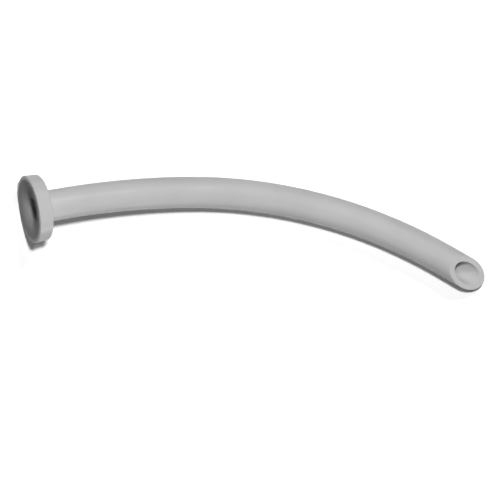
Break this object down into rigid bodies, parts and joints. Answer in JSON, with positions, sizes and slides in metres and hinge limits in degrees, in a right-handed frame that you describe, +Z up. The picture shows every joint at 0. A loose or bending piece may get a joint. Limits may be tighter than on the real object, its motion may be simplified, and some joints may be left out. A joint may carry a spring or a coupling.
{
  "type": "nasopharyngeal airway",
  "caption": "Soft curved tube with a round flange at one end and a side-facing bevelled tip at the other, which keeps a nasal air passage open.",
  "frame": {"origin": "bottom centre of the bounding box, on the table that the airway lies on", "axes": "+Z up from the table, +X the way the neck heads away from the flange seen from above, and the tube bends towards -Y with its bevel facing up"},
  "size_m": [0.1614, 0.0672, 0.0239],
  "materials": {
    "soft_moulding": "satin"
  },
  "bodies": {
    "root": {"airway": "soft_moulding"}
  },
  "joints": []
}
